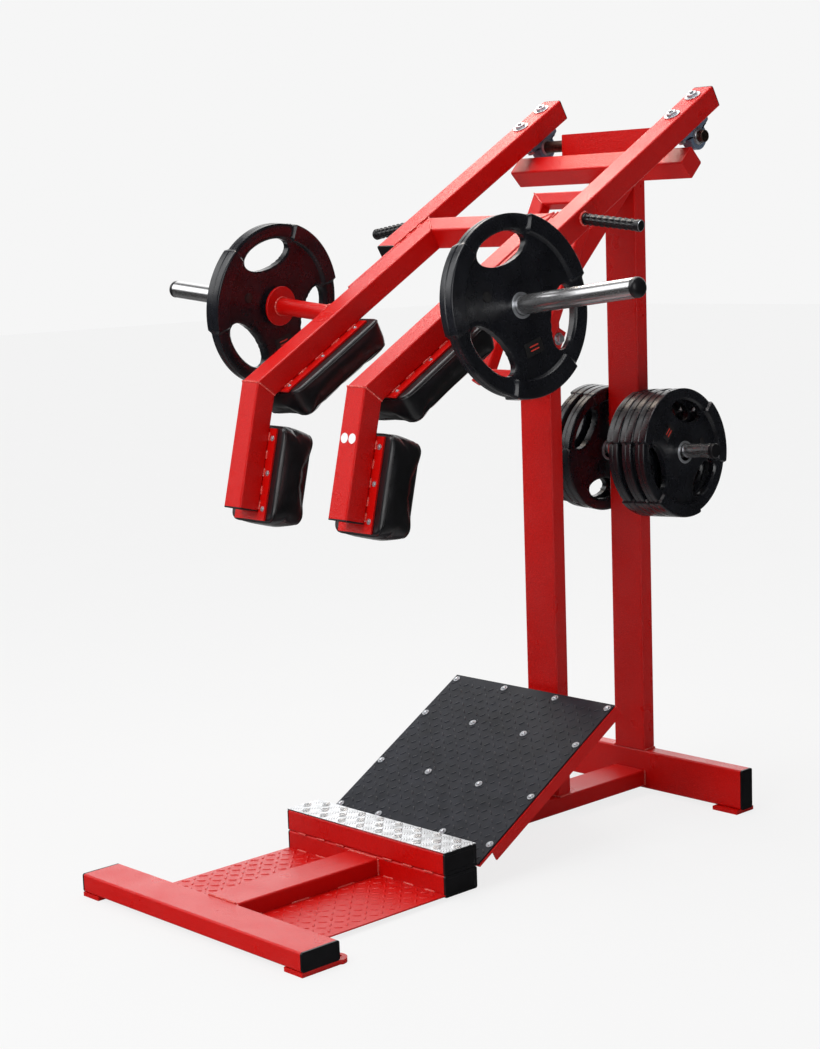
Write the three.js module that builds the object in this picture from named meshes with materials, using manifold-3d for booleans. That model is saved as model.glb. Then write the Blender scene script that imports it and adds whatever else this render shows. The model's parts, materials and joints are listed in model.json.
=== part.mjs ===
// Plate-loaded lever squat machine: a T-shaped floor frame with a sloping foot platform, two posts with an
// inclined brace, a shaft across the top, and a padded shoulder lever that swings up on two pillow blocks.
// Millimetres, +Z up, +Y towards the posts (the way the athlete faces), +X to the athlete's right.
// Positions along Y are laid out from the rear face of the rear crossbar; the last lines of the file then
// move the whole machine so that its origin is the centre of its footprint.
import * as THREE from 'three';
import { mergeVertices } from 'three/addons/utils/BufferGeometryUtils.js';
import Module from 'manifold-3d';

const wasm = await Module();
wasm.setup();

// ---------------------------------------------------------------- driving dimensions
const GAP = 0.3;                 // air between touching pieces
const WALL = 3.2;               // tube wall
const CORNER = 6;                // outside corner radius of a tube
const RHS_WIDE = 120;            // main rectangular tube, wide side
const RHS_THIN = 50;             // main rectangular tube, narrow side
const CAP = 6;                   // visible thickness of an end cap
const FOOT_H = 12;               // foot plate thickness

const REAR_BAR_LEN = 908;
const FRONT_BAR_LEN = 863;
const FRONT_BAR_Y = 1727;        // rear face of the front crossbar and of the main post
const STEP_Y = 608;              // rear face of the step
const STEP_LEN = 638;
const STEP_H = 60;               // height of each of the two stacked step tubes
const STEP_Z = 7;                // underside of the step
const FLOOR_PLATE_Z = 10;
const SPINE_Z = 20;              // underside of the spine beam

const SLOPE = THREE.MathUtils.degToRad(30);   // foot platform
const PLATFORM_Y = 733;
const PLATFORM_Z = 70;
const PLATFORM_LEN = 654;
const PLATFORM_W = 640;
const FLANGE_H = 35;

const REAR_POST_Y = 1338;        // rear face of the rear post
const BRACE_D = 60;              // depth of the inclined brace
const BRACE_RISE = 119;          // height of the brace's underside over its distance along Y
const HEAD_SIDE = 65;            // square head crossbar
const HEAD_LEN = 660;

const PIVOT_Y = 1717;            // lever shaft
const PIVOT_Z = 1980;
const SHAFT_R = 17.5;
const SHAFT_LEN = 668;
const HOUSING_SIDE = 65;
const HOUSING_LEN = 366;

const LEVER_ANGLE = THREE.MathUtils.degToRad(30.3);   // arms below the horizontal, at rest
const ELBOW_TURN = THREE.MathUtils.degToRad(45.8);
const ARM_W = 70;
const ARM_D = 65;
const ARM_H = 35;                // underside of the arms above the shaft's axis, square to the arms
const OUTER_ARM_X = 293.5;
const OUTER_ARM_FROM = -106;     // ahead of the shaft
const OUTER_ARM_TO = 722;        // behind the shaft
const SHOULDER_X = 211;
const CROSS_S = 572;             // front face of the lever's crossmember, behind the shaft
const ELBOW_S = 1387;
const LOWER_LEN = 323;
const BRACKET_W = 124;
const BRACKET_T = 5;
const PAD_W = 190;
const SHOULDER_PAD_T = 100;
const BACK_PAD_T = 130;

const HORN_S = 1036;
const HORN_H = 73;
const HORN_TILT = THREE.MathUtils.degToRad(7.3);
const HORN_FLANGE_AT = 200;
const SLEEVE_R = 25;
const SLEEVE_END = 660;
const GRIP_S = 560;
const GRIP_H = 69;
const GRIP_TILT = THREE.MathUtils.degToRad(8.3);
const GRIP_LEN = 190;

const BIG_PLATE = { radius: 236, thick: 50, bore: 26, hole: { at: 150, long: 86, wide: 40 } };
const SMALL_PLATE = { radius: 194, thick: 50, bore: 26, hole: { at: 123, long: 69, wide: 33 } };
const STORED_TURN = { left: THREE.MathUtils.degToRad(-55), right: THREE.MathUtils.degToRad(166) };
const PEG_Z = 1060;
const PEG_R = 21;
const PEG_LEN = 272;
const PEG_TILT = THREE.MathUtils.degToRad(3);

const HAND_Y = 1363;             // pivot bolt of the hand frame
const HAND_Z = 1421;
const HAND_LEAN = THREE.MathUtils.degToRad(28);
const HAND_BACK = 55;            // bolt axis to the front faces of the hand frame's tubes
const HAND_D = 40;               // depth of those tubes
const HAND_LEG_W = 50;
const HAND_BAR_H = 40;
const HAND_HALF = 115.5;         // half the hand frame's width
const HAND_TOP = 424;
const HAND_BOTTOM = -178;

// ---------------------------------------------------------------- finishes
const finish = (color, roughness, metalness) =>
  () => new THREE.MeshStandardMaterial({ color, roughness, metalness });
const redPaint = finish(0xc31410, 0.4, 0.1);
const blackPlastic = finish(0x121212, 0.55, 0);
const rubber = finish(0x1b1b1c, 0.7, 0);
const vinyl = finish(0x0e0e0f, 0.4, 0);
const brightSteel = finish(0xb9bbbd, 0.25, 1);
const darkSteel = finish(0x4b3b33, 0.5, 0.8);
const castIron = finish(0x5f6f82, 0.5, 0.6);
const aluminium = finish(0xc9cbcc, 0.35, 0.9);

// ---------------------------------------------------------------- solids
const X = new THREE.Vector3(1, 0, 0);
const Y = new THREE.Vector3(0, 1, 0);
const Z = new THREE.Vector3(0, 0, 1);

function toManifold(geometry) {
  const plain = geometry.index ? geometry.toNonIndexed() : geometry.clone();
  plain.deleteAttribute('normal');
  plain.deleteAttribute('uv');
  const merged = mergeVertices(plain, 1e-3);
  const corners = [];
  for (let i = 0; i < merged.index.count; i += 3) {
    const [a, b, c] = [0, 1, 2].map((k) => merged.index.getX(i + k));
    if (a !== b && b !== c && c !== a) corners.push(a, b, c);
  }
  return new wasm.Manifold(new wasm.Mesh({
    numProp: 3,
    vertProperties: new Float32Array(merged.attributes.position.array),
    triVerts: new Uint32Array(corners),
  }));
}

function fromManifold(solid) {
  const mesh = solid.getMesh();
  const geometry = new THREE.BufferGeometry();
  geometry.setAttribute('position', new THREE.BufferAttribute(mesh.vertProperties, 3));
  geometry.setIndex(new THREE.BufferAttribute(mesh.triVerts, 1));
  geometry.computeVertexNormals();
  return geometry;
}

const join = (...parts) => fromManifold(parts.map(toManifold).reduce((a, b) => a.add(b)));
const cut = (body, ...tools) => fromManifold(tools.map(toManifold).reduce((a, b) => a.subtract(b), toManifold(body)));

function rounded(width, depth, radius) {
  const w = width / 2;
  const d = depth / 2;
  const shape = new THREE.Shape();
  const corners = [[w, -d], [w, d], [-w, d], [-w, -d]];
  corners.forEach(([x, y], i) => {
    const from = (i - 1) * (Math.PI / 2);
    shape.absarc(x - Math.sign(x) * radius, y - Math.sign(y) * radius, radius, from, from + Math.PI / 2);
  });
  return shape;
}

// A rectangular tube along local +Z. The end slopes shear its two end faces, for mitres.
function tube(width, depth, length, { start = [0, 0], end = [0, 0] } = {}) {
  const shape = rounded(width, depth, CORNER);
  const w = width / 2 - WALL;
  const d = depth / 2 - WALL;
  shape.holes.push(new THREE.Path([[-w, -d], [-w, d], [w, d], [w, -d]].map((p) => new THREE.Vector2(...p))));
  const geometry = new THREE.ExtrudeGeometry(shape, { depth: length, bevelEnabled: false, curveSegments: 3 });
  const p = geometry.attributes.position;
  for (let i = 0; i < p.count; i += 1) {
    const slope = p.getZ(i) < length / 2 ? start : end;
    p.setZ(i, p.getZ(i) + slope[0] * p.getX(i) + slope[1] * p.getY(i));
  }
  return geometry;
}

const slab = (width, depth, height) => new THREE.BoxGeometry(width, depth, height);
const moved = (geometry, x, y, z) => geometry.clone().translate(x, y, z);

// A turned piece about local +Z from [radius, height] points that start and end on the axis,
// or close on themselves.
function turned(points, segments = 24) {
  const lathe = new THREE.LatheGeometry(points.map((p) => new THREE.Vector2(...p)), segments);
  return lathe.rotateX(Math.PI / 2);
}

// ---------------------------------------------------------------- placing
const machine = new THREE.Group();

function add(parent, name, geometry, material, x = 0, y = 0, z = 0) {
  const mesh = new THREE.Mesh(geometry, material());
  mesh.name = name;
  mesh.position.set(x, y, z);
  parent.add(mesh);
  return mesh;
}

// Turns a piece so that its local X, Y and Z lie along the three given directions.
function lie(mesh, x, y, z) {
  mesh.quaternion.setFromRotationMatrix(new THREE.Matrix4().makeBasis(x, y, z));
  return mesh;
}

const minus = (v) => v.clone().negate();
// Directions for a tube that runs across the machine, its wide side lying along Y.
const across = (mesh) => lie(mesh, Y, Z, X);
// Directions for a tube that runs from back to front, its wide side lying along X.
const lengthwise = (mesh) => lie(mesh, minus(X), Z, Y);

function eachSide(make) {
  make(-1, 'left');
  make(1, 'right');
}

// ---------------------------------------------------------------- floor frame
function endCap(width, depth, side) {
  const plug = 0.6;
  const face = new THREE.ExtrudeGeometry(rounded(width, depth, CORNER),
    { depth: CAP - GAP, bevelEnabled: false, curveSegments: 3 });
  const inner = slab(width - 2 * WALL - plug, depth - 2 * WALL - plug, 24);
  return join(face, moved(inner, 0, 0, side > 0 ? -11.9 : CAP - GAP + 11.9));
}

function footPlate(length, width, ear) {
  const shape = new THREE.Shape();
  shape.moveTo(-width / 2, 0);
  shape.lineTo(width / 2, 0);
  if (ear) {
    shape.lineTo(width / 2, length);
    shape.absarc(width / 2 - 26, length + 6, 30, 0, Math.PI, false);
    const hole = new THREE.Path();
    hole.absarc(width / 2 - 26, length + 16, 9, 0, 2 * Math.PI, true);
    shape.holes.push(hole);
  } else {
    shape.lineTo(width / 2, length);
  }
  shape.lineTo(-width / 2, length);
  return new THREE.ExtrudeGeometry(shape, { depth: FOOT_H - GAP, bevelEnabled: false, curveSegments: 10 });
}

function floorFrame() {
  const barZ = FOOT_H + RHS_THIN / 2;
  const rearTube = tube(RHS_WIDE, RHS_THIN, REAR_BAR_LEN - 2 * CAP);
  across(add(machine, 'rear_crossbar', rearTube, redPaint, CAP - REAR_BAR_LEN / 2, RHS_WIDE / 2, barZ));
  const frontZ = FOOT_H + RHS_WIDE / 2;
  const frontY = FRONT_BAR_Y + RHS_THIN / 2;
  const frontTube = tube(RHS_THIN, RHS_WIDE, FRONT_BAR_LEN - 2 * CAP);
  across(add(machine, 'front_crossbar', frontTube, redPaint, CAP - FRONT_BAR_LEN / 2, frontY, frontZ));
  eachSide((side, word) => {
    const rearX = side > 0 ? REAR_BAR_LEN / 2 - CAP + GAP : -REAR_BAR_LEN / 2;
    across(add(machine, `rear_crossbar_cap_${word}`, endCap(RHS_WIDE, RHS_THIN, side), blackPlastic,
      rearX, RHS_WIDE / 2, barZ));
    const frontX = side > 0 ? FRONT_BAR_LEN / 2 - CAP + GAP : -FRONT_BAR_LEN / 2;
    across(add(machine, `front_crossbar_cap_${word}`, endCap(RHS_THIN, RHS_WIDE, side), blackPlastic,
      frontX, frontY, frontZ));
    const rearFoot = footPlate(RHS_WIDE, 68, true);
    const foot = add(machine, `rear_foot_${word}`, rearFoot, redPaint, side * (REAR_BAR_LEN / 2 - 34), 0, 0);
    if (side < 0) lie(foot, minus(X), Y, minus(Z)).position.z = FOOT_H - GAP;
    add(machine, `front_foot_${word}`, footPlate(RHS_THIN + 30, 90, false), redPaint,
      side * (FRONT_BAR_LEN / 2 - 53), FRONT_BAR_Y - 15, 0);
  });

  const beam = tube(RHS_WIDE, RHS_THIN, STEP_Y - RHS_WIDE - 2 * GAP);
  lengthwise(add(machine, 'centre_beam', beam, redPaint, 0, RHS_WIDE + GAP, barZ));
  const side = (STEP_LEN - RHS_WIDE) / 2 - GAP;
  eachSide((sign, word) => {
    add(machine, `floor_plate_${word}`, slab(side, STEP_Y - RHS_WIDE - 2 * GAP, 4), redPaint,
      sign * (RHS_WIDE / 2 + GAP + side / 2), (STEP_Y + RHS_WIDE) / 2, FLOOR_PLATE_Z + 4);
  });

  const stepTube = tube(RHS_WIDE, STEP_H, STEP_LEN - 2 * CAP);
  ['step_lower_tube', 'step_upper_tube'].forEach((name, level) => {
    across(add(machine, name, stepTube.clone(), redPaint, CAP - STEP_LEN / 2, STEP_Y + RHS_WIDE / 2,
      STEP_Z + STEP_H / 2 + level * (STEP_H + GAP)));
  });
  add(machine, 'step_tread_plate', slab(STEP_LEN - 2, RHS_WIDE - 1, 2.4), aluminium,
    0, STEP_Y + RHS_WIDE / 2, STEP_Z + 2 * STEP_H + 2 * GAP + 1.2);

  const spineFrom = STEP_Y + RHS_WIDE + GAP;
  const spine = tube(RHS_WIDE, RHS_THIN, FRONT_BAR_Y - GAP - spineFrom);
  lengthwise(add(machine, 'spine_beam', spine, redPaint, 0, spineFrom, SPINE_Z + RHS_THIN / 2));
}

// ---------------------------------------------------------------- foot platform
function footPlatform() {
  const ramp = new THREE.Group();
  ramp.position.set(0, PLATFORM_Y, PLATFORM_Z);
  ramp.rotation.x = SLOPE;
  machine.add(ramp);
  const sheet = 5;
  // the lower end straddles the spine beam
  const notch = moved(slab(RHS_WIDE + 4, 2 * 64, 90), 0, 0, 0);
  const mat = moved(slab(PLATFORM_W - 8, PLATFORM_LEN - 4, sheet), 0, PLATFORM_LEN / 2, -sheet / 2);
  add(ramp, 'platform_mat', cut(mat, notch), rubber);
  const top = moved(slab(PLATFORM_W, PLATFORM_LEN, sheet), 0, PLATFORM_LEN / 2, -1.5 * sheet - GAP);
  const flangeLen = PLATFORM_LEN - 58;
  const flanges = [-1, 1].map((side) => moved(slab(sheet, flangeLen, FLANGE_H),
    side * (PLATFORM_W - sheet) / 2, PLATFORM_LEN - flangeLen / 2, -sheet - GAP - FLANGE_H / 2));
  add(ramp, 'platform_plate', cut(join(top, ...flanges), notch), redPaint);
  const support = tube(40, 40, PLATFORM_W - 60);
  across(add(machine, 'platform_support', support, redPaint, 30 - PLATFORM_W / 2, REAR_POST_Y - 20 - GAP, 361));
}

// ---------------------------------------------------------------- posts, brace and head
function posts() {
  const mainFrom = FOOT_H + RHS_WIDE + GAP;
  const mainTop = PIVOT_Z - HOUSING_SIDE / 2 - GAP;
  lie(add(machine, 'main_post', tube(RHS_WIDE, RHS_THIN, mainTop - mainFrom), redPaint,
    0, FRONT_BAR_Y + RHS_THIN / 2, mainFrom), X, Y, Z);

  // side view of the brace at 45 degrees: where its lower and upper faces meet the two posts
  const root2 = Math.SQRT2;
  const lowerFace = (y) => y + BRACE_RISE;
  const upperFace = (y) => lowerFace(y) + BRACE_D * root2;
  const postFront = REAR_POST_Y + RHS_THIN;
  const inner = lowerFace(postFront);
  const outer = upperFace(REAR_POST_Y);
  const postFrom = SPINE_Z + RHS_THIN + GAP;
  const slope = (inner - outer) / RHS_THIN;
  const post = tube(RHS_WIDE, RHS_THIN, (inner + outer) / 2 - GAP - postFrom, { end: [0, slope] });
  const boltHole = new THREE.CylinderGeometry(9, 9, RHS_WIDE + 10, 16).rotateZ(Math.PI / 2);
  const drilled = cut(post, moved(boltHole, 0, HAND_Y - REAR_POST_Y - RHS_THIN / 2, HAND_Z - postFrom));
  add(machine, 'rear_post', drilled, redPaint, 0, REAR_POST_Y + RHS_THIN / 2, postFrom);

  // distances along the brace, measured from the level of the floor and the layout's origin
  const along = (y, z) => (y + z) / root2;
  const innerAt = along(postFront, inner);
  const outerAt = along(REAR_POST_Y, outer);
  const end = FRONT_BAR_Y - GAP;
  const lowerEnd = along(end, lowerFace(end));
  const upperEnd = along(end, upperFace(end));
  const from = (innerAt + outerAt) / 2 + GAP;
  const length = (lowerEnd + upperEnd) / 2 - from;
  const brace = tube(RHS_WIDE, BRACE_D, length,
    { start: [0, (outerAt - innerAt) / BRACE_D], end: [0, (upperEnd - lowerEnd) / BRACE_D] });
  const up = new THREE.Vector3(0, 1, 1).normalize();
  const back = new THREE.Vector3(0, -1, 1).normalize();
  const offset = (BRACE_RISE / root2) + BRACE_D / 2;
  const place = up.clone().multiplyScalar(from).addScaledVector(back, offset);
  lie(add(machine, 'head_brace', brace, redPaint, ...place.toArray()), minus(X), back, up);

  // the head crossbar lies on the brace's upper face
  const headAt = up.clone().multiplyScalar(2517.3)
    .addScaledVector(back, offset + BRACE_D / 2 + GAP + HEAD_SIDE / 2);
  const head = tube(HEAD_SIDE, HEAD_SIDE, HEAD_LEN);
  lie(add(machine, 'head_crossbar', head, redPaint, -HEAD_LEN / 2, headAt.y, headAt.z), up, back, X);

  const block = slab(HOUSING_LEN, HOUSING_SIDE, HOUSING_SIDE);
  const bore = new THREE.CylinderGeometry(18.2, 18.2, HOUSING_LEN + 10, 24).rotateZ(Math.PI / 2);
  add(machine, 'shaft_housing', cut(block, bore), redPaint, 0, PIVOT_Y, PIVOT_Z);
  const shaft = new THREE.CylinderGeometry(SHAFT_R, SHAFT_R, SHAFT_LEN, 24).rotateZ(Math.PI / 2);
  add(machine, 'pivot_shaft', shaft, darkSteel, 0, PIVOT_Y, PIVOT_Z);
}

// ---------------------------------------------------------------- weight plates
// A disc with three grip holes, a thick rim, a thinner web and a hub, turned about local +Z from z = 0.
function weightPlate({ radius, thick, bore, hole }, turn) {
  const web = thick * 0.22;
  const rim = radius * 0.83;
  const hub = bore + 16;
  const profile = [[bore, 2], [hub, 2], [hub + 5, web], [rim, web], [rim + 5, 0], [radius - 5, 0], [radius, 5]];
  const mirrored = profile.map(([r, z]) => [r, thick - z]).reverse();
  const disc = turned([...profile, ...mirrored, profile[0]], 32);
  const grips = [0, 1, 2].map((i) => {
    const outline = new THREE.Shape();
    outline.absellipse(0, 0, hole.wide, hole.long, 0, 2 * Math.PI, false, 0);
    const cutter = new THREE.ExtrudeGeometry(outline, { depth: thick + 4, bevelEnabled: false, curveSegments: 7 });
    return cutter.translate(hole.at, 0, -2).rotateZ(turn + (i * 2 * Math.PI) / 3);
  });
  return cut(disc, ...grips);
}

// ---------------------------------------------------------------- plate storage on the main post
function storage() {
  const stacks = { left: [12, 62.5], right: [12, 62.5, 113] };
  const hang = BIG_PLATE.bore - PEG_R - GAP - 0.5;
  eachSide((side, word) => {
    const peg = new THREE.Group();
    peg.position.set(side * (RHS_WIDE / 2 + GAP), FRONT_BAR_Y + RHS_THIN / 2, PEG_Z);
    peg.rotation.y = side * (Math.PI / 2 - PEG_TILT);
    machine.add(peg);
    const rod = turned([[0, 1.5], [PEG_R, 1.5], [PEG_R, PEG_LEN - 2], [PEG_R - 2, PEG_LEN], [0, PEG_LEN]]);
    add(peg, `storage_peg_${word}`, rod, brightSteel);
    stacks[word].forEach((at, i) => {
      // local X of a peg points down on the right side and up on the left
      const name = `storage_plate_${word}_${i + 1}`;
      add(peg, name, weightPlate(SMALL_PLATE, STORED_TURN[word]), rubber, side * hang, 0, at);
    });
  });
}

// ---------------------------------------------------------------- hand frame
function handFrame() {
  const frame = new THREE.Group();
  frame.position.set(0, HAND_Y, HAND_Z);
  frame.rotation.x = -HAND_LEAN;
  machine.add(frame);
  const y = -HAND_BACK - HAND_D / 2;
  const miter = HAND_BAR_H / HAND_LEG_W;
  const inset = GAP * 1.4;
  const legLen = HAND_TOP - HAND_BOTTOM - HAND_BAR_H - inset;
  eachSide((side, word) => {
    const leg = tube(HAND_LEG_W, HAND_D, legLen, { start: [-side * miter, 0], end: [side * miter, 0] });
    const legX = side * (HAND_HALF - HAND_LEG_W / 2);
    const lug = cut(slab(8, HAND_BACK + 22.5, 60), new THREE.CylinderGeometry(9, 9, 20, 16).rotateZ(Math.PI / 2)
      .translate(0, (HAND_BACK + 0.5) / 2 - 11, 0));
    const legZ = HAND_BOTTOM + (HAND_BAR_H + inset) / 2;
    const lugMid = -(HAND_BACK + 0.5 - 22) / 2;
    const joined = join(leg, moved(lug, side * 70 - legX, lugMid - y, -legZ));
    add(frame, `hand_frame_leg_${word}`, joined, redPaint, legX, y, legZ);
  });
  const half = HAND_HALF - HAND_LEG_W / 2 - inset / 2;
  ['bottom', 'top'].forEach((word, i) => {
    const slope = (i ? 1 : -1) / miter;
    const bar = tube(HAND_D, HAND_BAR_H, 2 * half, { start: [0, -slope], end: [0, slope] });
    const z = i ? HAND_TOP - HAND_BAR_H / 2 : HAND_BOTTOM + HAND_BAR_H / 2;
    across(add(frame, `hand_frame_${word}_bar`, bar, redPaint, -half, y, z));
  });
  const head = new THREE.CylinderGeometry(13, 13, 11, 6).rotateZ(Math.PI / 2);
  const washer = new THREE.CylinderGeometry(17, 17, 3, 16).rotateZ(Math.PI / 2);
  const rod = new THREE.CylinderGeometry(8, 8, 176, 16).rotateZ(Math.PI / 2);
  const ends = [-1, 1].flatMap((side) => [moved(head, side * 82.8, 0, 0), moved(washer, side * 76, 0, 0)]);
  add(machine, 'hand_frame_bolt', join(rod, ...ends), brightSteel, 0, HAND_Y, HAND_Z);
}

// ---------------------------------------------------------------- shoulder lever
function bracket(length) {
  return slab(BRACKET_W, length, BRACKET_T + 0.5);
}

function pillowBlock() {
  const base = 65;
  const foot = 14;
  const ring = 38;
  const top = ARM_H - GAP;
  const shape = new THREE.Shape();
  shape.moveTo(-base, top);
  shape.lineTo(-base, top - foot);
  shape.lineTo(-ring * 0.93, top - foot);
  shape.absarc(0, 0, ring, Math.PI, 2 * Math.PI, false);
  shape.lineTo(ring * 0.93, top - foot);
  shape.lineTo(base, top - foot);
  shape.lineTo(base, top);
  const bore = new THREE.Path();
  bore.absarc(0, 0, 18.2, 0, 2 * Math.PI, true);
  shape.holes.push(bore);
  return new THREE.ExtrudeGeometry(shape, { depth: 38, bevelEnabled: false, curveSegments: 12 });
}

function horn(parent, side, word) {
  const group = new THREE.Group();
  const armFace = SHOULDER_X + ARM_W / 2;
  group.position.set(side * armFace, -HORN_S, HORN_H);
  group.rotation.y = side * (Math.PI / 2 - HORN_TILT);
  parent.add(group);
  const tubeR = 24;
  const flange = 8;
  const seat = HORN_FLANGE_AT + flange;
  const root = tubeR * Math.tan(HORN_TILT) + GAP;
  add(group, `horn_${word}`, turned([[tubeR - 4, root], [tubeR, root], [tubeR, HORN_FLANGE_AT],
    [56, HORN_FLANGE_AT], [56, seat], [tubeR - 4, seat], [tubeR - 4, root]]), redPaint);
  add(group, `horn_sleeve_${word}`, turned([[SLEEVE_R - 5, seat + GAP], [SLEEVE_R, seat + GAP],
    [SLEEVE_R, SLEEVE_END], [SLEEVE_R - 5, SLEEVE_END], [SLEEVE_R - 5, seat + GAP]]), brightSteel);
  const turn = THREE.MathUtils.degToRad(side > 0 ? 46 : 134);
  add(group, `horn_plate_${word}`, weightPlate(BIG_PLATE, turn), rubber, side * 0.6, 0, seat + 2 * GAP);
}

function lever() {
  const arms = new THREE.Group();
  arms.position.set(0, PIVOT_Y, PIVOT_Z);
  arms.rotation.x = LEVER_ANGLE;
  machine.add(arms);
  const mid = ARM_H + ARM_D / 2;
  const halfTurn = Math.tan(ELBOW_TURN / 2);
  const rearward = (mesh) => lie(mesh, X, Z, minus(Y));

  const half = SHOULDER_X - GAP / 2;
  across(add(arms, 'lever_crossmember', tube(ARM_W, ARM_D, 2 * half, { start: [-1, 0], end: [1, 0] }),
    redPaint, -half, -CROSS_S - ARM_W / 2, mid));

  eachSide((side, word) => {
    const outerLen = OUTER_ARM_TO - OUTER_ARM_FROM;
    const joiner = moved(slab(10, ARM_D - 6, 360), side * -(ARM_W / 2 + 4.5), 0,
      CROSS_S - OUTER_ARM_FROM + 182);
    rearward(add(arms, `outer_arm_${word}`, join(tube(ARM_W, ARM_D, outerLen), joiner), redPaint,
      side * OUTER_ARM_X, -OUTER_ARM_FROM, mid));

    const upperFrom = CROSS_S + ARM_W / 2 + GAP / 2;
    const upperLen = ELBOW_S - GAP / 2 - upperFrom;
    const upper = tube(ARM_W, ARM_D, upperLen, { start: [-side, 0], end: [0, halfTurn] });
    const upperPlate = slab(BRACKET_W, BRACKET_T + 0.5, 338);
    const upperPlateAt = 1010 + 169 - upperFrom;
    rearward(add(arms, `shoulder_arm_${word}`,
      join(upper, moved(upperPlate, 0, -(ARM_D + BRACKET_T - 0.5) / 2, upperPlateAt)), redPaint,
      side * SHOULDER_X, -upperFrom, mid));
    add(arms, `shoulder_pad_${word}`, slab(PAD_W, 370, SHOULDER_PAD_T), vinyl,
      side * SHOULDER_X, -1165, ARM_H - BRACKET_T - GAP - SHOULDER_PAD_T / 2);

    const drop = new THREE.Group();
    drop.position.set(side * SHOULDER_X, -ELBOW_S, mid);
    drop.rotation.x = ELBOW_TURN;
    arms.add(drop);
    const lower = tube(ARM_W, ARM_D, LOWER_LEN - GAP / 2, { start: [0, -halfTurn] });
    const lowerPlate = slab(BRACKET_W, BRACKET_T + 0.5, 248);
    rearward(add(drop, `back_arm_${word}`,
      join(lower, moved(lowerPlate, 0, -(ARM_D + BRACKET_T - 0.5) / 2, 101 + 124)), redPaint, 0, -GAP / 2, 0));
    add(drop, `back_pad_${word}`, slab(PAD_W, 270, BACK_PAD_T), vinyl,
      0, -(89 + 135), -(ARM_D / 2 + BRACKET_T + GAP + BACK_PAD_T / 2));

    horn(arms, side, word);

    const grip = new THREE.Group();
    grip.position.set(side * (OUTER_ARM_X + ARM_W / 2), -GRIP_S, GRIP_H);
    grip.rotation.y = side * (Math.PI / 2 + GRIP_TILT);
    arms.add(grip);
    add(grip, `grip_${word}`, turned([[0, 2.8], [16, 2.8], [16, GRIP_LEN], [0, GRIP_LEN]], 16), rubber);

    lie(add(arms, `pillow_block_${word}`, pillowBlock(), castIron, side * OUTER_ARM_X - 19, 0, 0), Y, Z, X);
  });
}

floorFrame();
footPlatform();
posts();
storage();
handFrame();
lever();

// the origin is the centre of the footprint, on the floor
machine.updateMatrixWorld(true);
const box = new THREE.Box3().setFromObject(machine, true);
const shift = -(box.min.y + box.max.y) / 2;
const placed = new THREE.Group();
machine.position.y = shift;
placed.add(machine);

export default placed;
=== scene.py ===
# Looks for the lever squat machine. Metres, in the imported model's frame.
import json
import math

import bpy
import numpy as np
from mathutils import Matrix, Vector


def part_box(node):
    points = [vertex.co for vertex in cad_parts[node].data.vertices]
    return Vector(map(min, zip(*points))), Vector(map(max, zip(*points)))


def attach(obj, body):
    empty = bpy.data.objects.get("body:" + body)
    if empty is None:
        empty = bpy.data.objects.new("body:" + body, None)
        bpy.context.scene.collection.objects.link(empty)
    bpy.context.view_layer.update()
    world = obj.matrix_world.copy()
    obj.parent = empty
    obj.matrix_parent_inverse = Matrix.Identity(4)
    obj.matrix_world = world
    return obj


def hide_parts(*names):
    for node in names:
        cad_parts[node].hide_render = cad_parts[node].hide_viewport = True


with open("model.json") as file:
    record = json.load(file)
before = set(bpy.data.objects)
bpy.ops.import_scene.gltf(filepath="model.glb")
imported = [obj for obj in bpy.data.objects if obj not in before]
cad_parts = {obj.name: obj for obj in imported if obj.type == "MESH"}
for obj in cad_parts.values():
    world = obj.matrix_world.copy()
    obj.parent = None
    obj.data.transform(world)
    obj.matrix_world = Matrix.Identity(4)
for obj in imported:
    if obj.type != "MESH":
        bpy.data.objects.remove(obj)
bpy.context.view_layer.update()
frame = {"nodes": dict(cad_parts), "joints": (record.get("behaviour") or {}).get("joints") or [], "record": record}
joints = {j["name"]: j for j in frame["joints"]}

# ---------------------------------------------------------------- camera
CAMERA_AT = Vector((3.96066, -3.86349, 1.74106))
AZIMUTH, PITCH, ROLL = (math.radians(v) for v in (46.823, 8.337, -1.982))
look = Vector((-math.sin(AZIMUTH) * math.cos(PITCH), math.cos(AZIMUTH) * math.cos(PITCH), -math.sin(PITCH)))
level_way = Vector((math.cos(AZIMUTH), math.sin(AZIMUTH), 0))
upward = level_way.cross(look)
right = level_way * math.cos(ROLL) + upward * math.sin(ROLL)
top = upward * math.cos(ROLL) - level_way * math.sin(ROLL)
camera_data = bpy.data.cameras.new("camera")
camera_data.lens = 68.72
camera_data.sensor_width = 36
camera_data.clip_end = 200
camera = bpy.data.objects.new("camera", camera_data)
bpy.context.scene.collection.objects.link(camera)
camera.matrix_world = Matrix((
    (right.x, top.x, -look.x, CAMERA_AT.x),
    (right.y, top.y, -look.y, CAMERA_AT.y),
    (right.z, top.z, -look.z, CAMERA_AT.z),
    (0, 0, 0, 1)))
bpy.context.scene.camera = camera


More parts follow.
